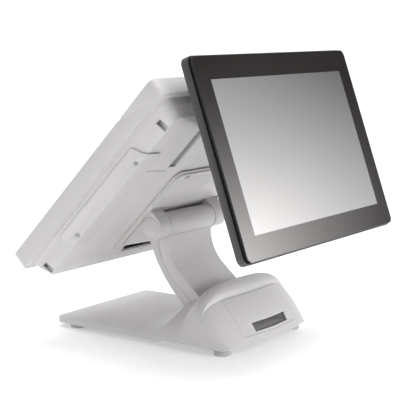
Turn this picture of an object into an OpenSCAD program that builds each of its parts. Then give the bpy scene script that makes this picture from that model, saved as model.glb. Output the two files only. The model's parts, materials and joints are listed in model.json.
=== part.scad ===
// Point-of-sale touchscreen terminal with a second, customer-facing display.
// +Z up, the operator's side towards -Y, the customer's side towards +Y, millimetres.
// The origin is on the counter, under the middle of the whole terminal.

/* [Stand] */
// Width of the base
base_w = 190; // [180:1:200]
// Depth of the base, front edge to the foot of the tail
base_d = 287; // [277:1:297]
// Thickness of the flat front of the base, above its lower edge
plate_t = 8; // [7:0.5:10]
// Height of the tail's crest above the counter
crest_z = 76.5; // [74:0.5:80]
// Width of the curved arm
arm_w = 94; // [88:1:98]
// Height of the tilt axis above the counter
tilt_z = 142; // [140:1:146]

/* [Terminal] */
// Width of the operator's panel
panel_w = 374; // [368:1:380]
// Height of the operator's panel, measured up its slope
panel_h = 313; // [308:1:318]
// Thickness of the bezel
bezel_t = 22; // [20:1:24]
// Depth of the housing's back below the front face
housing_d = 50; // [48:0.5:51]
// Lean of the panel from the vertical, in degrees
panel_tilt = 44.3; // [40:0.1:48]

/* [Customer display] */
// Width of the customer display's glass
display_w = 338; // [330:1:344]
// Height of the customer display's glass
display_h = 235; // [228:1:240]
// Lean of the customer display from the vertical, in degrees
display_tilt = 19.5; // [14:0.5:24]

/* [Hidden] */
$fn = 48;
wall = 2.5;
gap = 0.4;
eps = 0.02;

// Tilt hinge between the arm and the terminal
tilt_y = -35;
hinge_up = 110;
hinge_back = 67.5;
barrel_r = 16;
barrel_half = 71;
shaft_r = 5;
run_fit = 0.05;

// Base
base_front = -177.5;
base_back = base_front + base_d;
edge_z = 6;
tail_edge_z = 9;
plate_top = edge_z + plate_t;
ramp_y = -69;
ramp_r = 84;
ramp_a = 50.8;
ramp_lag = 29.4;
waist_y = 11;
crest_y = 50;
crest_r = 18;
tail_crease = [67.5, 62.5];
tail_bulge = 24;
dome_z = 56;
tail_end_z = 11;
tail_plan_r = 270;
cover_half = 59;
cover_lo = 20;
cover_hi = 61.5;
cable_slot = [72, 10];
cable_slot_z = 22.5;
foot_spots = [[80.6, -150, 9.3], [78, 80, 10.5]];
foot_h = 6.5;
bolt_spots = [[28, 22], [28, 65]];
base_screw_spots = [[60, -160], [80, -90], [56, 80]];

// Arm, as arcs in the side view: the rear face then the front face
rear_c = [33.2, 127];
rear_r = 60;
front_c = [105.8, 176.5];
front_r = 170.5;
mid_r = 74;
arm_fall = 40;
arm_foot_z = 20;
sleeve_z = 128.5;
core_r = [69.5, 73.6];
core_half = 30;
hub_r = 12.5;

// Terminal details, across, back from the front face and up the slope
glass_w = 334;
glass_h = 258;
view_w = 306;
view_h = 230;
lcd_w = 326.5;
lcd_h = 253.5;
housing_lip = [173, 2, 304];
housing_edge = [163, 9, 295];
housing_flat = [108, 40, 278];
housing_edge_d = 44;
port_half = 55;
port_u = [36, 50];
sockets = [[-50, 16], [-30, 14], [-12, 14], [6, 16], [26, 22]];
card_notch_u = [244, 251];
hook_slots = [[[30, 43], [271, 279]], [[31, 44], [14, 22]]];
groove_x = 102;
groove_u = [210, 274];
cover_u = [56, 197];
rear_cover_half = 80;
cover_t = [1.8, 3.4];
bay_half = 71.6;
button_at = [-10, 36.4];
bay_top = 131;
ear_x = 51;
ear_t = 3;
bracket_half = 70.5;
bracket_w = [housing_d + 0.1, housing_d + 3.1];

// Customer display details, with the glass front at y = 0 and its middle at z = 0
display_c = [0, 138.4, 248.9];
active_w = 286.5;
active_h = 179;
rim_d = 14;
bulge_d = 30;
pivot_y = -43;
pivot_z = 12;
pivot_r = 9;
pin_r = 3;
lug_x = 19;
lug_t = 8;

white = [0.93, 0.93, 0.92];
grey = [0.62, 0.62, 0.63];
dark = [0.17, 0.17, 0.18];
steel = [0.7, 0.71, 0.73];
green = [0.1, 0.35, 0.2];

// ---- Shapes used by several parts ----

module rounded_rect(w, h, r) {
    square([w - 2 * r, h], center = true);
    square([w, h - 2 * r], center = true);
    for (x = [-1, 1], y = [-1, 1]) translate([x * (w / 2 - r), y * (h / 2 - r)]) circle(r);
}

// A flat slab facing -Y: its front at y0, its middle height at z
module slab(w, h, r, t, y0 = 0, z = 0)
    translate([0, y0 + t, z]) rotate([90, 0, 0]) linear_extrude(t) rounded_rect(w, h, r);

// A slab between two heights, given its half width
module slab_between(half, lo, hi, r, t, y0) slab(2 * half, hi - lo, r, t, y0, (lo + hi) / 2);

// Side-view outlines, drawn as (y, z), given a width along X
module across(w, x0 = 0)
    translate([x0, 0, 0]) rotate([90, 0, 90]) linear_extrude(w, center = true) children();

module box(x, y, z) translate([x[0], y[0], z[0]]) cube([x[1] - x[0], y[1] - y[0], z[1] - z[0]]);

module rod(r, x0, x1) translate([x0, 0, 0]) rotate([0, 90, 0]) cylinder(h = x1 - x0, r = r);

module both_sides() {
    children();
    mirror([1, 0, 0]) children();
}

// Terminal frame: y is the depth behind the front face, z the height up the slope
module on_terminal() translate([0, tilt_y, tilt_z]) rotate([-panel_tilt, 0, 0])
    translate([0, -hinge_back, -hinge_up]) children();

module at_tilt_axis() translate([0, tilt_y, tilt_z]) children();

module on_display() translate(display_c) rotate([display_tilt, 0, 0]) children();

// A screw along +Y: its head's outer face at the origin
module screw_y(head_r, head_t, r, l) rotate([-90, 0, 0]) {
    difference() {
        cylinder(h = head_t, r = head_r);
        translate([0, 0, -eps]) cylinder(h = head_t * 0.6, r = head_r * 0.45, $fn = 6);
    }
    translate([0, 0, head_t]) cylinder(h = l, r = r);
}

// ---- Base ----

// Height of the ramp's concave top, y counted from where it leaves the flat plate
function ramp_height(y) =
    let (end_y = ramp_r * sin(ramp_a), end_z = ramp_r * (1 - cos(ramp_a)))
    plate_top + (y < 0 ? 0
        : y < end_y ? ramp_r - sqrt(pow(ramp_r, 2) - pow(y, 2))
        : end_z + (y - end_y) * tan(ramp_a));

// Height of the dome's middle line: low in front, up to the crest, down the bulging tail
function dome_top(y) =
    let (rise_end = crest_y - 10, rise_end_z = crest_z - crest_r + sqrt(pow(crest_r, 2) - 100),
        t = (y - tail_crease[0]) / (base_back - tail_crease[0]))
    y < base_front + 2.5 ? plate_top - (base_front + 2.5 - y)
    : y < waist_y ? dome_z
    : y < rise_end ? dome_z + (rise_end_z - dome_z) * (y - waist_y) / (rise_end - waist_y)
    : y < tail_crease[0] ? crest_z - crest_r + sqrt(max(2, pow(crest_r, 2) - pow(y - crest_y, 2)))
    : tail_crease[1] + t * (tail_end_z - tail_crease[1]) + tail_bulge * t * (1 - t);

function ease(t) = let (c = min(1, max(0, t))) c * c * (3 - 2 * c);

function base_half(y) =
    let (corner = 12, in_corner = base_front + corner - y, past = max(0, y - 82))
    in_corner > 0 ? base_w / 2 - corner + sqrt(max(0, pow(corner, 2) - pow(in_corner, 2)))
    : base_w / 2 - 0.012 * pow(past, 2);

// Squareness of the cross-section: an ellipse up to the waist, then ever squarer towards the tail's end
function base_power(y) = 2 + 1.8 * ease((y - 25) / 28) + 3 * ease((y - 58) / 25);
function base_low(y) = edge_z + (tail_edge_z - edge_z) * ease((y + 6) / 8);

// The ramp starts further back towards the sides, and cuts a sharp ridge out of the dome
function ramp_at(x, y) = ramp_height(y - ramp_y - ramp_lag * pow(2 * x / base_w, 2));

// The tail's rear face bows forwards at its ends
function tail_bow(x, y) = ease((y - 52) / 30) * pow(x, 2) / (2 * tail_plan_r);

function base_section(y, inset, steps) =
    let (half = base_half(y) - inset, top = min(dome_top(y), dome_top(y + inset)) - inset, low = base_low(y),
        p = 2 / base_power(y))
    [for (i = [0:steps]) let (a = 180 * i / steps, x = half * sign(cos(a)) * pow(abs(cos(a)), p))
        [x, y - tail_bow(x, y), min(low + (top - low) * pow(max(0, sin(a)), p), ramp_at(x, y) - inset)]];

function base_stations() = concat(
    [base_front, base_front + 1, base_front + 2.5, base_front + 6, base_front + 12, -130, ramp_y],
    [for (y = [-54:6:-30]) y], [for (y = [-26:4:38]) y], [for (y = [40:3:106]) y], [base_back]);

module loft(sections) {
    n = len(sections[0]);
    m = len(sections);
    middles = [for (j = [0, m - 1])
        (sections[j][0] + sections[j][floor(n / 2)]) / 2 - [sections[j][0][0] / 2, 0, 0]];
    points = concat([for (s = sections) each s], middles);
    sides = [for (j = [0:m - 2], i = [0:n - 1]) let (k = (i + 1) % n)
        each [[j * n + i, j * n + k, (j + 1) * n + i], [j * n + k, (j + 1) * n + k, (j + 1) * n + i]]];
    front = [for (i = [0:n - 1]) [m * n, (i + 1) % n, i]];
    back = [for (i = [0:n - 1]) [m * n + 1, (m - 1) * n + i, (m - 1) * n + (i + 1) % n]];
    polyhedron(points, concat(front, sides, back));
}

module base_body() loft([for (y = base_stations()) base_section(y, 0, 28)]);

module base_hollow() loft([for (y = base_stations())
    if (y > base_front + 3 && y < 103) base_section(y, wall, 12)]);

module cable_cover_mask(grow) box([-cover_half - grow, cover_half + grow], [tilt_y + 95, 130],
    [cover_lo - grow, cover_hi + grow]);

module cable_slot_cut() box([-cable_slot[0] / 2, cable_slot[0] / 2], [80, 130],
    [cable_slot_z, cable_slot_z + cable_slot[1]]);

module base_shell() color(white) difference() {
    base_body();
    base_hollow();
    translate([0, 0, -eps]) box([-90, 90], [base_front + 5, 92], [0, tail_edge_z + 0.6]);
    cable_cover_mask(gap);
    cable_slot_cut();
    across(arm_w + 2 * gap) arm_outline(gap);
}

module cable_cover() color(white) difference() {
    intersection() {
        base_body();
        cable_cover_mask(0);
    }
    base_hollow();
    cable_slot_cut();
}

module base_plate() color(steel) difference() {
    translate([0, 0, edge_z + 0.5]) linear_extrude(3)
        translate([0, (base_front + 94) / 2]) rounded_rect(176, 92 - base_front - 12, 10);
    for (x = [-1, 1], b = bolt_spots) translate([x * b[0], b[1], 0]) cylinder(h = 20, r = 3);
    for (x = [-1, 1], b = base_screw_spots) translate([x * b[0], b[1], 0]) cylinder(h = 20, r = 2.1);
}

module rubber_feet() color(grey) both_sides() for (f = foot_spots)
    translate([f[0], f[1], 0]) cylinder(h = foot_h, r = f[2]);

module base_screws() color(steel) both_sides() for (b = base_screw_spots) translate([b[0], b[1], 0]) {
    translate([0, 0, edge_z - 1.5]) cylinder(h = 2, r = 3.6);
    translate([0, 0, edge_z + 0.5]) cylinder(h = 3.4, r = 2);
}

// ---- Arm ----

// Everything on the rear side of an arc and the straight fall that follows it
module arm_rear_side(r) {
    translate(rear_c) circle(r, $fn = 96);
    translate(rear_c) rotate(-arm_fall) translate([0, -r]) square([200, 300]);
}

// Side view of the arm, grown outwards by g
module arm_band(g) difference() {
    intersection() {
        translate(front_c) circle(front_r + g, $fn = 120);
        polygon([[tilt_y - barrel_r - g, tilt_z], [tilt_y, tilt_z], [30, tilt_z - 10], [60, arm_foot_z],
            [-20, arm_foot_z], [-80, 100], [-57 - g, 118]]);
    }
    arm_rear_side(rear_r - g);
}

module arm_outline(g) {
    arm_band(g);
    translate([tilt_y, tilt_z]) circle(barrel_r + g);
}

// The hollow arm: walls all round, open at its foot
module arm_hollow() difference() {
    across(arm_w) arm_outline(0);
    across(arm_w - 2 * wall) arm_outline(-wall);
    at_tilt_axis() rod(shaft_r + 1, -arm_w, arm_w);
}

module above(z) across(2 * arm_w) translate([-150, z]) square(300);
module below(z) across(2 * arm_w) translate([-150, z - 300]) square(300);

module arm_front_shell() color(white) difference() {
    arm_hollow();
    above(sleeve_z);
    across(2 * arm_w) arm_rear_side(mid_r + gap);
}

module arm_rear_shell() color(white) intersection() {
    arm_hollow();
    below(sleeve_z);
    across(2 * arm_w) arm_rear_side(mid_r);
}

module hinge_sleeve() color(white) intersection() {
    arm_hollow();
    above(sleeve_z + gap);
}

module arm_core() color(steel) difference() {
    union() {
        across(2 * core_half) intersection() {
            difference() {
                arm_rear_side(core_r[1]);
                arm_rear_side(core_r[0]);
            }
            polygon([[-60, tilt_z - 8], [-25, tilt_z - 8], [80, 10], [30, 10], [-60, 70]]);
        }
        at_tilt_axis() rod(hub_r, -44, 44);
        box([-38, 38], [8, 76], [9.6, 13.6]);
    }
    at_tilt_axis() rod(shaft_r, -50, 50);
    for (x = [-1, 1], b = bolt_spots) translate([x * b[0], b[1], 0]) cylinder(h = 20, r = 3);
}

module arm_bolts() color(steel) both_sides() for (b = bolt_spots) translate([b[0], b[1], 0]) {
    translate([0, 0, 6.6]) cylinder(h = 7, r = 2.9);
    translate([0, 0, 13.6]) cylinder(h = 4, r = 5, $fn = 6);
}

module hinge_shaft() color(steel) at_tilt_axis() rod(shaft_r, -66, 66);

module shaft_nuts() color(steel) at_tilt_axis() both_sides() difference() {
    translate([59.5, 0, 0]) rotate([0, 90, 0]) cylinder(h = 5, r = 9, $fn = 6);
    rod(shaft_r, 50, 70);
}

// ---- Operator's panel ----

module bezel() color(white) on_terminal() difference() {
    union() {
        difference() {
            slab(panel_w, panel_h, 8, bezel_t, 0, panel_h / 2);
            slab(panel_w - 6, panel_h - 6, 5, bezel_t, 3, panel_h / 2);
        }
        chassis_spots(3) rotate([-90, 0, 0]) cylinder(h = 15.6, r = 3);
    }
    slab(view_w, view_h, 3, bezel_t, -1, panel_h / 2);
    box([panel_w / 2 - 2, panel_w], [-1, 2.2], card_notch_u);
}

// Where the screws hold the panel's chassis to the bezel
module chassis_spots(y) both_sides() for (z = [-105, 0, 105])
    translate([166.4, y, panel_h / 2 + z]) children();

module touch_glass() color(dark) on_terminal() slab(glass_w - 8, glass_h - 4, 4, 3, 3, panel_h / 2);

module glass_gasket() color("black") on_terminal() difference() {
    slab(glass_w - 10, glass_h - 6, 4, 1.5, 6, panel_h / 2);
    slab(view_w + 2, view_h + 2, 2, 3, 5, panel_h / 2);
}

module lcd_panel() color("dimgray") on_terminal() slab(lcd_w, lcd_h, 2, 11, 7.5, panel_h / 2);

module panel_chassis() color(steel) on_terminal() difference() {
    union() {
        slab(340, 262, 3, 1.2, 18.6, panel_h / 2);
        for (z = [-1, 1]) translate([0, 0, panel_h / 2 + z * 120])
            box([-108, 108], [19.8, 26], [-1, 1]);
    }
    chassis_spots(15) rotate([-90, 0, 0]) cylinder(h = 8, r = 1.7);
}

module housing_screws() color(steel) on_terminal() chassis_spots(21.4)
    mirror([0, 1, 0]) screw_y(2.8, 1.6, 1.6, 1.2);

// ---- Terminal housing ----

// The housing's outside: a low pyramid behind the bezel, grown outwards by g
module housing_outside(g) hull() {
    slab_between(housing_lip[0] + g, housing_lip[1] - g, housing_lip[2] + g, 12, eps, bezel_t + min(g, 0));
    slab_between(housing_edge[0] + g, housing_edge[1] - g, housing_edge[2] + g, 10, eps, housing_edge_d + g);
    slab_between(housing_flat[0], housing_flat[1], housing_flat[2], 8, eps, housing_d + g);
}

module port_slot() box([-port_half, port_half], [housing_d - 10, housing_d + 10], port_u);

// Walls inside the housing, on both sides of the sockets
module port_walls() both_sides() across(wall, port_half + wall)
    polygon([[29, port_u[0] - 10], [44, port_u[0] - 10], [48.5, port_u[0] + 6], [48.5, port_u[1] + 3],
        [29, port_u[1] + 3]]);

module vent_slots() both_sides()
    box([groove_x - 7, groove_x + 7], [housing_d - 10, housing_d + 10], groove_u);

// Shallow marks cut into the outside: the upper cover's seam, and a shadow gap around the rear cover
module housing_marks() {
    difference() {
        both_sides() box([108, 190], [30, 60], [203.6, 204.6]);
        housing_outside(-1.3);
    }
    difference() {
        rear_cover_outline(-2.6, housing_d - 1, housing_d + 1);
        rear_cover_outline(0.4, housing_d - 2, housing_d + 2);
    }
}

// Slots for hooks, through the side walls near the corners
module hook_openings() difference() {
    both_sides() for (h = hook_slots) box([150, 190], h[0], h[1]);
    housing_outside(-5);
}

module rear_housing() color(white) on_terminal() difference() {
    union() {
        difference() {
            union() {
                housing_outside(0);
                slab(panel_w - 7, panel_h - 7, 5, 2, bezel_t - 2, panel_h / 2);
            }
            hull() {
                slab_between(170.5, 4.5, 301.5, 10, eps, bezel_t - 2.5);
                slab_between(160.5, 11.5, 292.5, 8, eps, housing_edge_d - wall);
                slab_between(105.5, 42.5, 275.5, 6, eps, housing_d - wall);
            }
        }
        port_walls();
    }
    housing_marks();
    hook_openings();
    port_slot();
    vent_slots();
    translate([0, 0, -5]) linear_extrude(20) button_outline(0.3);
    bracket_spots(40) rotate([-90, 0, 0]) cylinder(h = 20, r = 1.9);
    mount_spots(40) rotate([-90, 0, 0]) cylinder(h = 20, r = 1.9);
    cover_spots(40) rotate([-90, 0, 0]) cylinder(h = 20, r = 1.6);
    side_spots(175) rotate([0, -90, 0]) cylinder(h = 30, r = 1.6);
}

module vent_grilles() color(grey) on_terminal() both_sides() difference() {
    box([groove_x - 9.5, groove_x + 4.4], [45.6, 47.3], [groove_u[0] - 3, groove_u[1] + 2]);
    for (u = [groove_u[0] + 3:4:groove_u[1] - 4]) box([groove_x - 6, groove_x + 3], [40, 50], [u, u + 1]);
}

module cover_spots(y) both_sides() translate([53, y, 187]) children();
module side_spots(x) for (u = [85, 215]) translate([x, 41.3, u]) children();

// Removable cover over the cable bay: an arch around the hinge, with a low rim and a raised middle
module rear_cover() color(white) on_terminal() difference() {
    union() {
        rear_cover_outline(0, housing_d + 0.2, housing_d + cover_t[0]);
        rear_cover_outline(3.5, housing_d + 0.2, housing_d + cover_t[1]);
    }
    cover_spots(40) rotate([-90, 0, 0]) cylinder(h = 30, r = 1.6);
}

module rear_cover_outline(inset, y0, y1) {
    half = rear_cover_half - inset;
    top = cover_u[1] - inset;
    low = cover_u[0] + inset;
    translate([0, y1, 0]) rotate([90, 0, 0]) linear_extrude(y1 - y0) difference() {
        polygon([[-half, low], [half, low], [half, top - 8], [half - 8, top], [8 - half, top],
            [-half, top - 8]]);
        translate([-bay_half - min(inset, 0), 0]) square([2 * (bay_half + min(inset, 0)), bay_top]);
    }
}

module rear_cover_screws() color(steel) on_terminal() cover_spots(housing_d + cover_t[1] + 1.7)
    mirror([0, 1, 0]) screw_y(3.2, 1.7, 1.5, 8);

// Screwed cover of the drive bay, lying over the housing's side and back edge
module side_cover() color(white) on_terminal() difference() {
    intersection() {
        housing_outside(1.6);
        across(60, 175) side_cover_outline();
    }
    housing_outside(0.15);
    side_spots(175) rotate([0, -90, 0]) cylinder(h = 30, r = 1.7);
    side_spots(165.5) rotate([0, 90, 0]) cylinder(h = 9, r = 2.9);
}

module side_cover_outline() polygon([[27, 70], [31, 63], [38, 66], [56, 82], [61, 84], [61, 250], [55, 243],
    [47, 237], [39, 231], [31, 229], [27, 226]]);

module side_cover_screws() color(steel) on_terminal() side_spots(166.8) rotate([0, 0, 90])
    screw_y(2.6, 1.2, 1.5, 8);

// ---- Electronics ----

module mainboard() color(green) on_terminal() difference() {
    union() {
        box([-95, 75], [27, 28.6], [54, 224]);
        box([-80, -40], [28.6, 34], [60, 74]);
        box([40, 64], [28.6, 33], [70, 110]);
    }
    for (x = [-90, 70], u = [60, 218]) translate([x, 20, u]) rotate([-90, 0, 0]) cylinder(h = 20, r = 1.8);
}

module heat_sink() color(steel) on_terminal() {
    box([-50, 30], [28.7, 32], [120, 200]);
    for (x = [-50:8:22]) box([x, x + 2], [32, 43], [120, 200]);
}

module memory_module() color(green) on_terminal() box([-88, -58], [29.5, 33], [120, 190]);

module storage_drive() color("silver") on_terminal() translate([119, 0, 0]) slab(70, 100, 2, 7, 23, 150);

module drive_tray() color(steel) on_terminal() translate([119, 0, 150]) {
    box([-37, 37], [30.2, 31.4], [-52, 52]);
    for (x = [-37, 35.8]) box([x, x + 1.2], [24, 30.2], [-52, 52]);
}

module touch_controller() color(green) on_terminal() box([-150, -108], [23, 26], [70, 96]);

module speakers() color(dark) on_terminal() both_sides() difference() {
    box([112, 148], [24, 38], [16, 44]);
    translate([130, 32, 30]) rotate([-90, 0, 0]) cylinder(h = 10, r = 11);
}

// Sockets in the cable bay, facing out of the port slot through a thin plate
module io_connectors() color("dimgray") on_terminal() {
    difference() {
        box([-port_half - 1.2, port_half + 1.2], [42.4, 43.4], [port_u[0] - 1, port_u[1] + 1]);
        for (s = sockets) box([s[0] - 0.2, s[0] + s[1] + 0.2], [40, 50], [37.8, 49.2]);
    }
    for (s = sockets) difference() {
        box([s[0], s[0] + s[1]], [29, 43.8], [38, 49]);
        box([s[0] + 2, s[0] + s[1] - 2], [36, 44], [40.5, 46.5]);
    }
}

module power_switch() color(dark) on_terminal() box([button_at[0] - 5, button_at[0] + 5], [31, 41], [17, 24]);

module button_outline(g) translate(button_at) {
    square([14, 8 + 2 * g], center = true);
    for (x = [-7, 7]) translate([x, 0]) circle(4 + g);
}

module power_button() color(grey) on_terminal() {
    translate([0, 0, 2]) linear_extrude(11.5) button_outline(0);
    translate([0, 0, 13.2]) linear_extrude(1.6) button_outline(1);
}

// ---- Tilt hinge, terminal side ----

module bracket_spots(y) both_sides() for (u = [66, 80]) translate([30, y, u]) children();

module hinge_bracket() color(steel) on_terminal() difference() {
    union() {
        box([-bracket_half, bracket_half], bracket_w, [58, 88]);
        both_sides() {
            box([48, bracket_half], bracket_w, [88, 126]);
            across(ear_t, ear_x + ear_t / 2) hull() {
                translate([hinge_back, hinge_up]) circle(11.5);
                translate([bracket_w[0], 66]) square([3, 52]);
            }
        }
    }
    translate([0, hinge_back, hinge_up]) rod(shaft_r + run_fit, -80, 80);
    bracket_spots(40) rotate([-90, 0, 0]) cylinder(h = 20, r = 1.9);
    bracket_spots(housing_d + 1) rotate([-90, 0, 0]) cylinder(h = 5, r = 3.8);
}

module bracket_screws() color(steel) on_terminal() bracket_spots(housing_d + 2.9)
    mirror([0, 1, 0]) screw_y(3.6, 1.8, 1.8, 5);

module cheek_outline(inset) intersection() {
    hull() {
        translate([hinge_back, hinge_up]) circle(barrel_r - inset);
        translate([bracket_w[1] + 0.1, 60 + inset]) square([2, 66 - 2 * inset]);
    }
    translate([bracket_w[1] + 0.1, 0]) square(200);
}

module hinge_cheek_right() color(white) on_terminal() difference() {
    across(barrel_half - 48, (barrel_half + 48) / 2) cheek_outline(0);
    across(19, 59.5) cheek_outline(wall);
    translate([0, hinge_back, hinge_up]) {
        rod(shaft_r + 1, 40, 60);
        rod(13.4, 60, 80);
    }
}

module hinge_cheek_left() mirror([1, 0, 0]) hinge_cheek_right();

module hinge_caps() color(white) on_terminal() both_sides()
    translate([0, hinge_back, hinge_up]) rod(13.2, 68.6, barrel_half + 0.6);

module friction_washers() color(steel) at_tilt_axis() both_sides() for (x = [54.2, 56, 57.8]) difference() {
    rod(10, x, x + 1.5);
    rod(shaft_r + 0.2, 50, 70);
}

// ---- Customer display ----

function pivot_at() = let (c = cos(display_tilt), s = sin(display_tilt))
    [display_c[1] + pivot_y * c - pivot_z * s, display_c[2] + pivot_y * s + pivot_z * c];

module at_pivot() translate([0, pivot_at()[0], pivot_at()[1]]) children();

module mount_spots(y) both_sides() for (u = [230, 268]) translate([28, y, u]) children();

module display_mount() color(dark) difference() {
    union() {
        on_terminal() slab_between(36, 222, 276, 4, 3.8, housing_d + 0.2);
        hull() {
            at_pivot() rod(pivot_r - 1, -15, 15);
            on_terminal() box([-15, 15], [housing_d + 3.8, housing_d + 3.9], [238, 272]);
        }
        at_pivot() rod(pivot_r, -18.6, 18.6);
    }
    at_pivot() rod(pin_r + run_fit, -30, 30);
    on_terminal() mount_spots(40) rotate([-90, 0, 0]) cylinder(h = 20, r = 1.9);
}

module mount_screws() color(steel) on_terminal() mount_spots(housing_d + 6.2) mirror([0, 1, 0])
    screw_y(3.6, 2.1, 1.8, 9);

module display_bulge(inset) hull() {
    slab(240 - 2 * inset, 160 - 2 * inset, 12 - inset, eps, -rim_d + 2 * sign(inset));
    slab(200 - 2 * inset, 120 - 2 * inset, 10 - inset, eps, -bulge_d + inset);
}

module display_shell() color(dark) on_display() difference() {
    union() {
        slab(display_w + 3.5, display_h + 3.5, 10, rim_d - 5, -rim_d);
        display_bulge(0);
    }
    slab(display_w - 1, display_h - 1, 8, 20, 2 - rim_d);
    display_bulge(2);
    lug_spots(-40) rotate([-90, 0, 0]) cylinder(h = 20, r = 1.6);
}

module display_frame() color("black") on_display() difference() {
    slab(display_w - 3, display_h - 3, 8, 3, -5);
    slab(active_w + 15.5, active_h + 15, 2, 10, -8);
}

module display_glass() color(dark) on_display() slab(display_w, display_h, 8, 2, -2);

module display_lcd() color("lightgray") on_display() slab(active_w + 13.5, active_h + 13, 2, 4.9, -7);

module display_board() color(green) on_display() {
    box([-80, 80], [-18, -16.4], [-45, 40]);
    box([-30, 10], [-20.5, -18], [-20, 20]);
}

module lug_spots(y) both_sides() for (z = [-8, 32]) translate([12, y, z]) children();

module display_lugs() color(dark) on_display() difference() {
    union() {
        box([-32, 32], [-bulge_d - 3, -bulge_d], [-14, 38]);
        both_sides() across(lug_t, lug_x + lug_t / 2) hull() {
            translate([pivot_y, pivot_z]) circle(pivot_r - 1);
            translate([-bulge_d - 3, -2]) square([2, 28]);
        }
    }
    translate([0, pivot_y, pivot_z]) rod(pin_r, -40, 40);
    lug_spots(-40) rotate([-90, 0, 0]) cylinder(h = 20, r = 1.6);
}

module display_pin() color(steel) at_pivot() rod(pin_r, -28, 28);

module lug_screws() color(steel) on_display() lug_spots(-34.6) screw_y(3, 1.6, 1.5, 6);

base_shell();
base_plate();
rubber_feet();
base_screws();
cable_cover();
arm_front_shell();
arm_rear_shell();
hinge_sleeve();
arm_core();
arm_bolts();
hinge_shaft();
shaft_nuts();
bezel();
touch_glass();
glass_gasket();
lcd_panel();
panel_chassis();
rear_housing();
housing_screws();
rear_cover();
rear_cover_screws();
side_cover();
side_cover_screws();
vent_grilles();
mainboard();
heat_sink();
memory_module();
storage_drive();
drive_tray();
touch_controller();
speakers();
io_connectors();
hinge_bracket();
bracket_screws();
hinge_cheek_left();
hinge_cheek_right();
hinge_caps();
friction_washers();
power_button();
power_switch();
display_mount();
mount_screws();
display_shell();
display_frame();
display_glass();
display_lcd();
display_board();
display_lugs();
display_pin();
lug_screws();
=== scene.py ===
"""Point-of-sale touchscreen terminal: the looks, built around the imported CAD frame."""
import json
import math

import bmesh
import bpy
from mathutils import Euler, Matrix, Vector


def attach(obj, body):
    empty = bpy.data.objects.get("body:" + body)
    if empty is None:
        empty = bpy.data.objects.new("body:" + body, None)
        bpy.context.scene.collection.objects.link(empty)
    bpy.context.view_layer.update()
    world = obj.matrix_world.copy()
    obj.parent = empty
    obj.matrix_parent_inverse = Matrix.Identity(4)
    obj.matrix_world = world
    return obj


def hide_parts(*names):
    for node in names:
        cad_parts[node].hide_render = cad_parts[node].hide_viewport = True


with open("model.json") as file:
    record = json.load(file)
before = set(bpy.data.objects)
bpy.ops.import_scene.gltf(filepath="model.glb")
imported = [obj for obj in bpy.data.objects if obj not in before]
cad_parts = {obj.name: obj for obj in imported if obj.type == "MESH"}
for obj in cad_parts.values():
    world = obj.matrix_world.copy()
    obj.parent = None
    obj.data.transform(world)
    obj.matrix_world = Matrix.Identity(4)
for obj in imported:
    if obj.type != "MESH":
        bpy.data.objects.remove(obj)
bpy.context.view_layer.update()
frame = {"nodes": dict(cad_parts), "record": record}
MM = 0.001
scene = bpy.context.scene


# ---- Camera, as the photograph sees it ----

CAMERA_PLACE, CAMERA_AIM = (1.2045, 0.8645, 0.3951), (0, -0.0103, 0.1708)
LENS, SENSOR_WIDTH = 105.85, 36
FAR_CLIP = 50


def point_at(obj, place, aim):
    """Put a camera or a lamp at its place, looking at its aim."""
    scene.collection.objects.link(obj)
    obj.location = place
    obj.rotation_euler = (Vector(aim) - obj.location).to_track_quat("-Z", "Y").to_euler()


def add_camera():
    data = bpy.data.cameras.new("camera")
    data.lens = LENS
    data.sensor_width = SENSOR_WIDTH
    data.clip_end = FAR_CLIP
    cam = bpy.data.objects.new("camera", data)
    point_at(cam, CAMERA_PLACE, CAMERA_AIM)
    scene.camera = cam


# ---- Materials: colours are linear RGB, noise scales are per metre, bump heights are in metres ----

# The Mix node repeats its socket names for each data type, so its colour sockets go by number.
MIX_FACTOR, MIX_A, MIX_B, MIX_RESULT = 0, 6, 7, 2


class Nodes:
    """A short way to write a material: most calls add one node and return its output."""

    def __init__(self, name):
        self.mat = bpy.data.materials.new(name)
        self.mat.use_nodes = True
        self.tree = self.mat.node_tree
        self.tree.nodes.clear()
        out = self.tree.nodes.new("ShaderNodeOutputMaterial")
        self.shader = self.tree.nodes.new("ShaderNodeBsdfPrincipled")
        self.tree.links.new(self.shader.outputs[0], out.inputs[0])
        self.object_coords = self.tree.nodes.new("ShaderNodeTexCoord").outputs["Object"]

    def feed(self, socket, value):
        """Link a socket to another node, or set its constant."""
        if isinstance(value, bpy.types.NodeSocket):
            self.tree.links.new(value, socket)
        else:
            socket.default_value = value

    def set(self, **values):
        """Feed the shader's own sockets. An underscore stands for a space in a socket's name."""
        for name, value in values.items():
            self.feed(self.shader.inputs[name.replace("_", " ")], value)

    def add(self, kind, inputs, output=0, **settings):
        node = self.tree.nodes.new("ShaderNode" + kind)
        for name, value in settings.items():
            setattr(node, name, value)
        for name, value in inputs.items():
            self.feed(node.inputs[name], value)
        return node.outputs[output]

    def noise(self, scale, detail=3.0, coords=None):
        return self.add("TexNoise", {"Vector": coords or self.object_coords, "Scale": scale,
                                     "Detail": detail})

    def remap(self, value, low, high, start=0.3, end=0.7):
        """Stretch start..end to low..high, and clamp it."""
        return self.add("MapRange", {"Value": value, "From Min": start, "From Max": end,
                                     "To Min": low, "To Max": high})

    def mix(self, factor, a, b):
        """Blend two colours. Each is a socket or an RGB triple."""
        a, b = [c if isinstance(c, bpy.types.NodeSocket) else (*c, 1) for c in (a, b)]
        return self.add("Mix", {MIX_FACTOR: factor, MIX_A: a, MIX_B: b}, MIX_RESULT,
                        data_type="RGBA")

    def math(self, operation, *values):
        return self.add("Math", dict(enumerate(values)), operation=operation)

    def inside(self, value, half):
        return self.math("LESS_THAN", self.math("ABSOLUTE", value), half)

    def bump(self, height, strength, distance):
        return self.add("Bump", {"Height": height, "Strength": strength, "Distance": distance})


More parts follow.
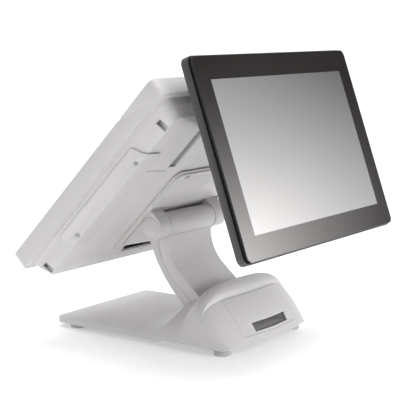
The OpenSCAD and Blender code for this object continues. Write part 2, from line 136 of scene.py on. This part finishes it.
def plastic(name, colour, rough, grain=2600, edge_highlight=None):
    """Moulded plastic: a fine spark-eroded grain, slow tone changes and a painted highlight that
    lightens its convex edges.
    """
    n = Nodes(name)
    tone = n.remap(n.noise(14), 0, 1)
    base = n.mix(tone, [c * 0.96 for c in colour], colour)
    # Convex edges are painted lighter: a painted highlight along them.
    edge = n.remap(n.add("NewGeometry", {}, "Pointiness"), 0, 1, 0.52, 0.6)
    base = n.mix(edge, base, edge_highlight or [min(1, c * 1.06) for c in colour])
    n.set(Base_Color=base, Roughness=n.remap(n.noise(60), rough - 0.05, rough + 0.05),
          Normal=n.bump(n.noise(grain, 2), 0.35, 0.00002), Specular_IOR_Level=0.45)
    return n.mat


def metal(name, colour, rough, streaks=(1, 1, 40)):
    """Plated or brushed metal with fine streaks along one axis."""
    n = Nodes(name)
    coords = n.add("Mapping", {"Vector": n.object_coords, "Scale": streaks})
    streak = n.noise(60, 4, coords)
    base = n.mix(n.remap(streak, 0, 1), [c * 0.85 for c in colour], colour)
    n.set(Base_Color=base, Metallic=1.0, Roughness=n.remap(n.noise(90), rough - 0.06, rough + 0.08),
          Normal=n.bump(streak, 0.15, 0.00003))
    return n.mat


def board(name):
    """Solder mask with copper lines under it."""
    n = Nodes(name)
    tracks = n.add("TexBrick", {"Vector": n.object_coords, "Scale": 90.0, "Mortar Size": 0.03}, "Fac")
    base = n.mix(tracks, (0.02, 0.13, 0.06), (0.04, 0.24, 0.11))
    n.set(Base_Color=base, Roughness=0.4, Normal=n.bump(tracks, 0.3, 0.00005))
    return n.mat


def rubber(name):
    n = Nodes(name)
    base = n.mix(n.remap(n.noise(40), 0, 1), (0.44, 0.44, 0.44), (0.50, 0.50, 0.50))
    n.set(Base_Color=base, Roughness=0.8, Normal=n.bump(n.noise(1500), 0.5, 0.00005))
    return n.mat


def screen(name, half_w, half_h, tone, across, up):
    """Polished glass with a dark printed border round a lit panel.

    The panel glows as a lit display, and its glow changes by so much per metre across the glass and up
    it: this gradient is a painted reflection.
    """
    n = Nodes(name)
    x, z = [n.add("SeparateXYZ", {"Vector": n.object_coords}, axis) for axis in "XZ"]
    inside = n.math("MULTIPLY", n.inside(x, half_w), n.inside(z, half_h))
    # The glow grows across and up the glass: a painted reflection laid over the display's own light.
    glow_and_sheen = n.math("ADD", n.math("MULTIPLY_ADD", x, across, tone), n.math("MULTIPLY", z, up))
    border = n.mix(n.remap(n.noise(9), 0, 1), (0.020, 0.017, 0.017), (0.026, 0.023, 0.023))
    n.set(Base_Color=n.mix(inside, border, (0.02, 0.02, 0.02)),
          Roughness=n.remap(n.noise(22, 5), 0.03, 0.07), IOR=1.52,
          Emission_Color=(1.0, 0.99, 0.985, 1.0), Emission_Strength=n.math("MULTIPLY", glow_and_sheen, inside),
          Normal=n.bump(n.noise(30, 2), 0.02, 0.00001))
    return n.mat


MATS = {
    "white_plastic": plastic("white_plastic", (0.655, 0.64, 0.637), 0.42),
    "white_paint": plastic("white_paint", (0.64, 0.63, 0.625), 0.36, grain=900),
    "grey_plastic": plastic("grey_plastic", (0.40, 0.395, 0.39), 0.5),
    # Its edges take a warm, lighter grey: a painted rim highlight.
    "dark_plastic": plastic("dark_plastic", (0.058, 0.055, 0.054), 0.36, edge_highlight=(0.10, 0.095, 0.09)),
    "black_plastic": plastic("black_plastic", (0.015, 0.015, 0.015), 0.55),
    "zinc_steel": metal("zinc_steel", (0.58, 0.59, 0.61), 0.38),
    "screw_steel": metal("screw_steel", (0.5, 0.5, 0.52), 0.3, streaks=(1, 1, 1)),
    "panel_metal": metal("panel_metal", (0.66, 0.67, 0.68), 0.42),
    "heat_sink_metal": metal("heat_sink_metal", (0.6, 0.61, 0.62), 0.4),
    "circuit_board": board("circuit_board"),
    "rubber": rubber("rubber"),
    "screen_glass": screen("screen_glass", 0.14325, 0.0895, tone=0.35, across=0.62, up=-1.5),
    "touch_screen": screen("touch_screen", 0.152, 0.114, tone=0.16, across=0.15, up=0.35),
}


# ---- CAD nodes that stay: their own materials, with small rounded edges ----

# Edge widths in millimetres. An edge is rounded where it turns by more than the angle, in degrees.
FINE_ROUND = 0.25
EDGE_ROUND = {"bezel": 1.6, "rear_housing": 1.6, "arm_front_shell": 1.2, "arm_rear_shell": 1.2,
              "hinge_sleeve": 0.5, "rear_cover": 0.4, "side_cover": 0.5, "display_shell": 0.8,
              "hinge_cheek_left": 1.2, "hinge_cheek_right": 1.2, "hinge_caps": 0.6}
EDGE_ANGLE, CRISP_ANGLE, FACETED_ANGLE = 32, 12, 40
CRISP = ("rear_housing", "side_cover", "rear_cover", "display_shell")


def round_edges(obj, width, angle=EDGE_ANGLE):
    """Weld the mesh, join its flat triangles, round its sharp edges and shade it smooth."""
    weld = obj.modifiers.new("weld", "WELD")
    weld.merge_threshold = 0.01 * MM
    flat = obj.modifiers.new("flat", "DECIMATE")
    flat.decimate_type = "DISSOLVE"
    flat.angle_limit = math.radians(0.5)
    bevel = obj.modifiers.new("edges", "BEVEL")
    bevel.width = width * MM
    bevel.segments = 2
    bevel.limit_method = "ANGLE"
    bevel.angle_limit = math.radians(angle)
    bevel.harden_normals = True
    shade_smooth(obj)


def shade_smooth(obj):
    obj.data.polygons.foreach_set("use_smooth", [True] * len(obj.data.polygons))


def dress_cad_nodes():
    slots = {s["node"]: s["material_slot"] for s in frame["record"]["subparts"]}
    for name, obj in frame["nodes"].items():
        obj.data.materials.clear()
        obj.data.materials.append(MATS[slots[name]])
        angle = CRISP_ANGLE if name in CRISP else EDGE_ANGLE
        round_edges(obj, EDGE_ROUND.get(name, FINE_ROUND), angle)


# ---- Mesh helpers: they take millimetres and make objects in metres ----

def to_object(bm, name):
    bmesh.ops.recalc_face_normals(bm, faces=bm.faces)
    me = bpy.data.meshes.new(name)
    bm.to_mesh(me)
    bm.free()
    obj = bpy.data.objects.new(name, me)
    scene.collection.objects.link(obj)
    return obj


def bridge(bm, a, b):
    """Quads between two closed rings of vertices."""
    for i in range(len(a)):
        j = (i + 1) % len(a)
        bm.faces.new((a[i], a[j], b[j], b[i]))


def fan(bm, ring):
    """Close a ring that isn't flat with triangles about a point on the centre plane."""
    middle = (ring[0].co + ring[len(ring) // 2].co) / 2
    hub = bm.verts.new((0, middle.y, middle.z))
    for i in range(len(ring)):
        bm.faces.new((ring[i], ring[(i + 1) % len(ring)], hub))


def loft(rings, name, curved_ends=False):
    """A closed mesh through rings of points. Its end caps are flat, or fans about a middle point."""
    bm = bmesh.new()
    rows = [[bm.verts.new(Vector(p) * MM) for p in ring] for ring in rings]
    for a, b in zip(rows, rows[1:]):
        bridge(bm, a, b)
    for row in (rows[0], rows[-1]):
        if curved_ends:
            fan(bm, row)
        else:
            bm.faces.new(row)
    if curved_ends:
        bmesh.ops.triangulate(bm, faces=bm.faces)
    return to_object(bm, name)


def lathe(profile, centre, name, steps=48):
    """A closed ring of (radius, z) points turned about an upright axis."""
    bm = bmesh.new()
    columns = [[bm.verts.new(Vector((centre[0] + r * math.cos(a), centre[1] + r * math.sin(a), z)) * MM)
                for r, z in profile] for a in [math.tau * i / steps for i in range(steps)]]
    for a, b in zip(columns, columns[1:] + columns[:1]):
        bridge(bm, a, b)
    return to_object(bm, name)


def side_prism(outline, x0, x1, name):
    """A prism along X over a side-view outline of (y, z) points."""
    return loft([[(x, y, z) for y, z in outline] for x in (x0, x1)], name)


def block(x0, x1, y0, y1, z0, z1):
    return side_prism([(y0, z0), (y1, z0), (y1, z1), (y0, z1)], x0, x1, "cutter")


def bake(obj):
    """The object's mesh becomes its mesh after modifiers."""
    graph = bpy.context.evaluated_depsgraph_get()
    mesh = bpy.data.meshes.new_from_object(obj.evaluated_get(graph))
    obj.modifiers.clear()
    old, obj.data = obj.data, mesh
    bpy.data.meshes.remove(old)


def carve(obj, cutter, operation="DIFFERENCE"):
    """Apply one exact boolean and remove the cutter."""
    mod = obj.modifiers.new("carve", "BOOLEAN")
    mod.operation = operation
    mod.solver = "EXACT"
    mod.object = cutter
    bake(obj)
    bpy.data.objects.remove(cutter)


def joined(parts, name):
    """One object holding the meshes of several."""
    bm = bmesh.new()
    for part in parts:
        bm.from_mesh(part.data)
        bpy.data.objects.remove(part)
    return to_object(bm, name)


def finish_piece(obj, body, node):
    """Ride on the body and stand for the CAD node, which it hides."""
    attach(obj, body)
    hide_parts(node)


def spread(start, stop, step):
    """Even stations from start to stop, about a step apart."""
    n = max(1, round((stop - start) / step))
    return [start + (stop - start) * i / n for i in range(n + 1)]


# ---- Base: the CAD's surface, on a finer mesh. All lengths are in millimetres ----

# plan
BASE_W, BASE_FRONT, BASE_BACK = 190.0, -177.5, 109.5
FRONT_CORNER, FRONT_CHAMFER = 12, 2.5
TAPER_Y, TAPER = 82, 0.012                      # the tail narrows by the square of the way past this
BOW_Y, BOW_RUN, BOW_R = 52, 30, 270.0           # the tail's rear face is an arc in plan

# side view, from the front plate over the ramp and the waist to the tail
PLATE_TOP = 14.0
RAMP_Y, RAMP_R, RAMP_ANGLE, RAMP_LAG = -69.0, 84.0, math.radians(50.8), 29.4
WAIST_Y, DOME_Z = 11.0, 56.0
CREST_Y, CREST_Z, CREST_R, CREST_LEAD = 50.0, 76.5, 18.0, 10
CREASE_Y, CREASE_Z = 67.5, 62.5
TAIL_END_Z, TAIL_BULGE = 11.0, 24.0

# cross-sections, which grow squarer towards the tail: (more power, from y, over a run)
ROUND_POWER = 2
SQUARING = ((1.8, 25, 28), (3, 58, 25))
EDGE_Z, TAIL_EDGE_Z, EDGE_RISE_Y, EDGE_RISE_RUN = 6.0, 9.0, -6, 8

# walls and openings
WALL, GAP = 2.5, 0.4
HOLLOW_FRONT, HOLLOW_BACK = BASE_FRONT + 3, 103
PLATE_OPENING = (-90, 90, BASE_FRONT + 5, 92, 0, TAIL_EDGE_Z + 0.6)
COVER_HALF, COVER_LO, COVER_HI, COVER_Y = 59.0, 20.0, 61.5, 60.0
SLOT_HALF, SLOT_LO, SLOT_HI = 36.0, 22.5, 32.5
INSIDE, BEHIND = 80, 130                        # where cutters start in the tail, and end past it
ARM_HALF, ARM_FALL, ARM_LO = 47.0, math.radians(40), 18
ARM_FRONT_CENTRE, ARM_FRONT_R, ARM_FRONT_HI = (105.8, 176.5), 170.5, 100
ARM_REAR_CENTRE, ARM_REAR_R, ARM_REAR_HI = (33.2, 127.0), 60.0, 80

# the mesh: how far apart its stations are, and how many steps each section has
STATION, FLAT_STATION, CREST_STATION = 1.5, 14, 1.2
FLAT_START, CREST_START = 20, 39
FINE_STEPS, COARSE_STEPS = 120, 60


def ease(t):
    t = min(1.0, max(0.0, t))
    return t * t * (3 - 2 * t)


def ramp_height(y):
    """The ramp's height at y past its start: flat, then an arc, then its straight tangent."""
    end_y, end_z = RAMP_R * math.sin(RAMP_ANGLE), RAMP_R * (1 - math.cos(RAMP_ANGLE))
    if y < 0:
        return PLATE_TOP
    if y < end_y:
        return PLATE_TOP + RAMP_R - math.sqrt(RAMP_R ** 2 - y * y)
    return PLATE_TOP + end_z + (y - end_y) * math.tan(RAMP_ANGLE)


def crest_height(past):
    """The crest's arc, at this far in y from its highest point."""
    return CREST_Z - CREST_R + math.sqrt(CREST_R ** 2 - past ** 2)


def dome_top(y):
    """The height of the middle line: chamfer, dome, rise, crest and tail."""
    chamfer_end, rise_end = BASE_FRONT + FRONT_CHAMFER, CREST_Y - CREST_LEAD
    if y < chamfer_end:
        return PLATE_TOP - (chamfer_end - y)
    if y < WAIST_Y:
        return DOME_Z
    if y < rise_end:
        return DOME_Z + (crest_height(CREST_LEAD) - DOME_Z) * (y - WAIST_Y) / (rise_end - WAIST_Y)
    if y < CREASE_Y:
        return crest_height(y - CREST_Y)
    t = (y - CREASE_Y) / (BASE_BACK - CREASE_Y)
    return CREASE_Z + t * (TAIL_END_Z - CREASE_Z) + TAIL_BULGE * t * (1 - t)


def base_half(y):
    """Half the base's width: rounded front corners, straight sides and a tapered tail."""
    corner = BASE_FRONT + FRONT_CORNER - y
    if corner > 0:
        return BASE_W / 2 - FRONT_CORNER + math.sqrt(max(0, FRONT_CORNER ** 2 - corner ** 2))
    return BASE_W / 2 - TAPER * max(0, y - TAPER_Y) ** 2


def base_section(y, inset, steps):
    """Half a squarish ellipse over the station, cut down to the ramp's height."""
    power = sum((more * ease((y - start) / run) for more, start, run in SQUARING), ROUND_POWER)
    low = EDGE_Z + (TAIL_EDGE_Z - EDGE_Z) * ease((y - EDGE_RISE_Y) / EDGE_RISE_RUN)
    half, top = base_half(y) - inset, min(dome_top(y), dome_top(y + inset)) - inset
    points = []
    for i in range(steps + 1):
        c, s = math.cos(math.pi * i / steps), max(0.0, math.sin(math.pi * i / steps))
        x = half * math.copysign(abs(c) ** (2 / power), c)
        ramp = ramp_height(y - RAMP_Y - RAMP_LAG * (2 * x / BASE_W) ** 2) - inset
        bow = ease((y - BOW_Y) / BOW_RUN) * x * x / (2 * BOW_R)
        points.append((x, y - bow, min(low + (top - low) * s ** (2 / power), ramp)))
    return points


def base_body(name, inset=0.0, steps=FINE_STEPS, start=BASE_FRONT, stop=BASE_BACK):
    """The base's outer form, or one inset from it. Its stations lie closer where it curves."""
    stations = (spread(start, start + FRONT_CORNER, STATION)
                + spread(start + FLAT_START, RAMP_Y, FLAT_STATION)
                + spread(RAMP_Y + STATION, CREST_START - 1, STATION)
                + spread(CREST_START, CREASE_Y, CREST_STATION)
                + spread(CREASE_Y + CREST_STATION / 2, stop, STATION))
    return loft([base_section(y, inset, steps) for y in stations], name, curved_ends=True)


def arm_cut():
    """The arm's side view inside the base, with the gap around it."""
    (front_y, front_z), (rear_y, rear_z) = ARM_FRONT_CENTRE, ARM_REAR_CENTRE
    reach = ARM_REAR_R - GAP
    start_y, start_z = rear_y - reach * math.sin(ARM_FALL), rear_z - reach * math.cos(ARM_FALL)
    front = [(front_y - math.sqrt((ARM_FRONT_R + GAP) ** 2 - (z - front_z) ** 2), z)
             for z in spread(ARM_FRONT_HI, ARM_LO, 4)]
    rear = [(start_y + (start_z - z) / math.tan(ARM_FALL), z) for z in (ARM_LO, ARM_REAR_HI)]
    return side_prism(front + rear, -ARM_HALF - GAP, ARM_HALF + GAP, "cutter")


def cover_box(grow):
    return block(-COVER_HALF - grow, COVER_HALF + grow, COVER_Y, BEHIND,
                 COVER_LO - grow, COVER_HI + grow)


def slot_box(y0, y1, grow=0):
    return block(-SLOT_HALF - grow, SLOT_HALF + grow, y0, y1, SLOT_LO - grow, SLOT_HI + grow)


def make_base():
    shell, cover = base_body("base_skin"), base_body("cover_skin")
    hollow = base_body("hollow", WALL, COARSE_STEPS, HOLLOW_FRONT, HOLLOW_BACK)
    for part in (shell, cover):
        copy = hollow.copy()
        scene.collection.objects.link(copy)
        carve(part, copy)
    bpy.data.objects.remove(hollow)
    carve(shell, block(*PLATE_OPENING))
    carve(shell, cover_box(GAP))
    carve(shell, arm_cut())
    carve(cover, cover_box(0), "INTERSECT")
    for part in (cover, shell):
        carve(part, slot_box(INSIDE, BEHIND))
    for part, body, node in ((shell, "stand", "base_shell"), (cover, "cable_cover", "cable_cover")):
        part.data.materials.append(MATS["white_plastic"])
        round_edges(part, 0.5, FACETED_ANGLE)
        finish_piece(part, body, node)


# ---- The terminal's own frame: depth behind the bezel's front face, and height up the slope ----

TILT = 44.3                                     # degrees, at rest
PIVOT_Y, PIVOT_Z = -35, 142
PIVOT_DEPTH, PIVOT_UP = 67.5, 110               # the same point in the terminal's frame


def place_in_terminal(obj):
    """Move a piece drawn in the terminal's frame to its place."""
    obj.matrix_world = (Matrix.Translation((0, PIVOT_Y * MM, PIVOT_Z * MM))
                        @ Matrix.Rotation(math.radians(-TILT), 4, "X")
                        @ Matrix.Translation((0, -PIVOT_DEPTH * MM, -PIVOT_UP * MM)))


def terminal_point(depth, up):
    """The place of a point on the terminal's centre plane."""
    lean, depth, up = math.radians(TILT), depth - PIVOT_DEPTH, up - PIVOT_UP
    return (0, PIVOT_Y + depth * math.cos(lean) + up * math.sin(lean),
            PIVOT_Z - depth * math.sin(lean) + up * math.cos(lean))


# ---- Small pieces that the openings show, and the collars over the rear feet ----

HOOK_X, HOOK_DEPTH = (160.1, 160.9), (24, 43.9)
HOOK_SPANS = ((266, 284), (13.2, 26))           # up the slope
COLLAR = ((9, 6.6), (10.8, 6.6), (11.4, 8.5), (12.4, 11), (9, 11))
FEET_X, FEET_Y = 78, 80
CHUTE_WALL, CHUTE_FRONT, CHUTE_BACK = 1.2, 71, 108


def make_hooks():
    """Light walls just inside the housing's four hook slots."""
    hooks = [block(side * HOOK_X[0], side * HOOK_X[1], *HOOK_DEPTH, *span)
             for side in (-1, 1) for span in HOOK_SPANS]
    hooks = joined(hooks, "hook_backings")
    place_in_terminal(hooks)
    return hooks


def make_collars():
    collars = [lathe(COLLAR, (x, FEET_Y), "collar") for x in (-FEET_X, FEET_X)]
    return joined(collars, "foot_collars")


def make_chute():
    """The short channel behind the cable slot, trimmed to stay inside the cover's skin."""
    chute = slot_box(CHUTE_FRONT, CHUTE_BACK, CHUTE_WALL)
    carve(chute, slot_box(COVER_Y, BEHIND))
    carve(chute, base_body("trim", CHUTE_WALL, COARSE_STEPS), "INTERSECT")
    chute.name = "slot_chute"
    return chute


def make_details():
    pieces = ((make_hooks(), "terminal"), (make_collars(), "stand"), (make_chute(), "cable_cover"))
    for piece, body in pieces:
        piece.data.materials.append(MATS["white_plastic"])
        round_edges(piece, 0.2)
        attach(piece, body)


# ---- Glass: built flat in its own frame, so that its border and panel follow it ----

DISPLAY_LEAN, DISPLAY_CENTRE = 19.5, (0, 138.4, 248.9)
TOUCH_DEPTH, BEZEL_HEIGHT = 3, 313
BORDER_DEPTH = 0.2                              # past this the black edge begins: painted shade along the gap beside the glass


def rounded_outline(half_w, half_h, r, steps=8):
    points = []
    for k, (sx, sz) in enumerate(((1, 1), (-1, 1), (-1, -1), (1, -1))):
        for i in range(steps + 1):
            a = math.radians(90 * k + 90 * i / steps)
            points.append((sx * (half_w - r) + r * math.cos(a), sz * (half_h - r) + r * math.sin(a)))
    return points


def glass(name, size, lean, centre, front, material):
    """A glass sheet whose edges are black: painted shade along the gap beside it.

    The size is its width, height, corner radius and thickness. lean turns its upright frame about
    X, and front is +1 or -1, the way along Y that it faces.
    """
    w, h, r, t = size
    edge = ((0, 0.5), (-0.15, 0.15), (-0.5, 0), (-t + 0.4, 0), (-t, 0.4))
    obj = loft([[(x, front * y, z) for x, z in rounded_outline(w / 2 - inset, h / 2 - inset, r - inset)]
                for y, inset in edge], name)
    obj.location = Vector(centre) * MM
    obj.rotation_euler = Euler((math.radians(lean), 0, 0))
    obj.data.materials.append(MATS[material])
    obj.data.materials.append(MATS["black_plastic"])
    # Faces past the border depth take the black material: painted shade along the gap beside the glass.
    for face in obj.data.polygons:
        face.material_index = 1 if front * face.center.y < -BORDER_DEPTH * MM else 0
    return obj


def make_screens():
    customer = glass("customer_glass", (338, 235, 8, 2), DISPLAY_LEAN, DISPLAY_CENTRE, 1,
                     "screen_glass")
    finish_piece(customer, "customer_display", "display_glass")
    operator = glass("operator_glass", (326, 254, 4, 3), -TILT,
                     terminal_point(TOUCH_DEPTH, BEZEL_HEIGHT / 2), -1, "touch_screen")
    finish_piece(operator, "terminal", "touch_glass")


# ---- Studio, in metres ----

SWEEP_TURN, SWEEP_HALF_WIDTH = 216, 5.0         # it runs away from the camera
SWEEP_FRONT, SWEEP_BEND, SWEEP_R, SWEEP_TOP = -3.0, 2.2, 1.2, 5.0
FLOOR_GLOW = 0.3
CARD_HALF_W, CARD_HALF_H, CARD_PLACE = 0.85, 0.8, (-2.13, 1.299, 0.856)
CARD_RIGHT, CARD_UP = (-0.4785, -0.8781, 0), (0.2132, -0.1162, 0.9701)
GLOW_SPOT, GLOW_REACH, GLOW_FALL, GLOW = (-0.40, -0.22, 0.0), 0.85, 3.0, 9.0
WORLD_LIGHT = 0.56
LIGHTS = {                                      # size, watts, place and aim
    "top": ((2.0, 2.0), 36, (-0.3, 0.1, 2.4), (0, 0, 0.1)),
    "customer side": ((1.6, 0.9), 24, (-0.5, 2.4, 0.5), (0, 0, 0.12)),
}


def add_stage():
    """A pale floor that rises in a curve behind the object."""
    bend = [math.radians(9 * i) for i in range(11)]
    rows = ([(SWEEP_FRONT, 0.0)]
            + [(SWEEP_BEND + SWEEP_R * math.sin(a), SWEEP_R - SWEEP_R * math.cos(a)) for a in bend]
            + [(SWEEP_BEND + SWEEP_R, SWEEP_TOP)])
    bm = bmesh.new()
    away = Matrix.Rotation(math.radians(SWEEP_TURN), 4, "Z")
    verts = [[bm.verts.new(away @ Vector((d, side * SWEEP_HALF_WIDTH, z))) for side in (-1, 1)]
             for d, z in rows]
    for a, b in zip(verts, verts[1:]):
        bm.faces.new((a[0], a[1], b[1], b[0]))
    floor = to_object(bm, "floor")
    n = Nodes("floor")
    tone = n.mix(n.remap(n.noise(3), 0, 1), (0.93, 0.93, 0.93), (0.95, 0.95, 0.95))
    n.set(Base_Color=tone, Roughness=0.6, Emission_Color=(1.0, 1.0, 1.0, 1.0),
          Emission_Strength=FLOOR_GLOW)
    floor.data.materials.append(n.mat)
    shade_smooth(floor)


def add_reflector():
    """A soft glow on a black card, where the customer's glass mirrors it.

    It shows in reflections alone.
    """
    bm = bmesh.new()
    corners = ((-1, -1), (1, -1), (1, 1), (-1, 1))
    bm.faces.new([bm.verts.new((x * CARD_HALF_W, y * CARD_HALF_H, 0)) for x, y in corners])
    card = to_object(bm, "reflector")
    card.location = CARD_PLACE
    right, up = Vector(CARD_RIGHT), Vector(CARD_UP)
    card.rotation_euler = Matrix((right, up, right.cross(up))).transposed().to_euler()
    n = Nodes("reflector")
    away = n.add("VectorMath", {0: n.object_coords, 1: GLOW_SPOT}, "Value", operation="DISTANCE")
    near = n.math("SUBTRACT", 1.0, n.math("MINIMUM", n.math("DIVIDE", away, GLOW_REACH), 1.0))
    n.set(Base_Color=(0.01, 0.01, 0.01, 1.0), Roughness=1.0,
          Emission_Color=(1.0, 0.975, 0.96, 1.0),
          Emission_Strength=n.math("MULTIPLY", n.math("POWER", near, GLOW_FALL), GLOW))
    card.data.materials.append(n.mat)
    card.visible_camera = card.visible_diffuse = card.visible_shadow = False


def add_light(name, size, power, place, aim):
    data = bpy.data.lights.new(name, "AREA")
    data.shape = "RECTANGLE"
    data.size, data.size_y = size
    data.energy = power
    point_at(bpy.data.objects.new(name, data), place, aim)


def add_studio():
    world = bpy.data.worlds.new("studio")
    world.use_nodes = True
    background = world.node_tree.nodes["Background"]
    background.inputs["Color"].default_value = (1, 1, 1, 1)
    background.inputs["Strength"].default_value = WORLD_LIGHT
    scene.world = world
    scene.view_settings.view_transform = "Standard"
    for name, values in LIGHTS.items():
        add_light(name, *values)


add_camera()
add_stage()
add_reflector()
add_studio()
dress_cad_nodes()
make_base()
make_details()
make_screens()
